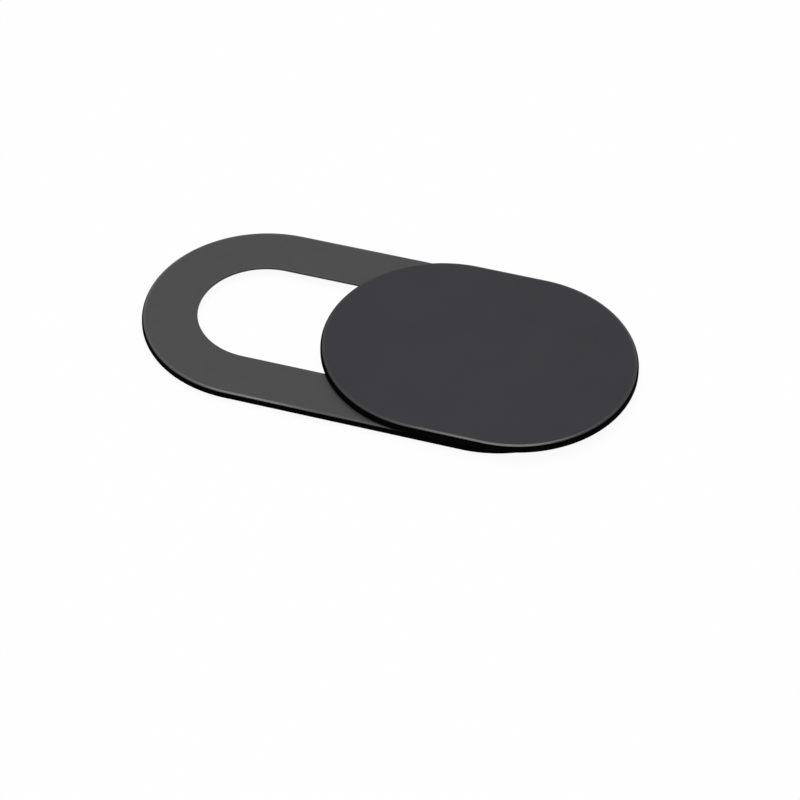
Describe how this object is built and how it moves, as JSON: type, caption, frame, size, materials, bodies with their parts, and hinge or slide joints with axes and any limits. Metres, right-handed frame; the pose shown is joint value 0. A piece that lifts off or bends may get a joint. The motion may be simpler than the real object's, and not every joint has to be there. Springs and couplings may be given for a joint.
{
  "type": "webcam cover slider",
  "caption": "Thin black stadium-shaped sliding cover for a webcam: a track frame that sticks to the lid with a ring of tape, and a plate that slides over its window.",
  "frame": {"origin": "middle of the overall outline with the cover at rest, on the tape's underside, which is the face that sticks to the lid", "axes": "+X along the frame towards the end where the cover stands at rest, +Y across the frame, +Z away from the lid"},
  "size_m": [0.0186, 0.009, 0.0007],
  "materials": {
    "frame_plastic": "fine satin moulded black, near-black side wall",
    "cover_plastic": "smooth satin moulded black, near-black side wall",
    "keeper_plastic": "plain moulded black with flattened pin heads",
    "foam_tape": "white double-sided acrylic foam tape"
  },
  "bodies": {
    "frame": {"base_frame": "frame_plastic", "adhesive_ring": "foam_tape"},
    "slider": {"slider_cover": "cover_plastic", "keeper_plate": "keeper_plastic"}
  },
  "joints": [
    {"name": "cover_slide", "type": "slide", "parent": "frame", "child": "slider", "axis": [-1, 0, 0], "range_m": [0, 0.0076]}
  ]
}
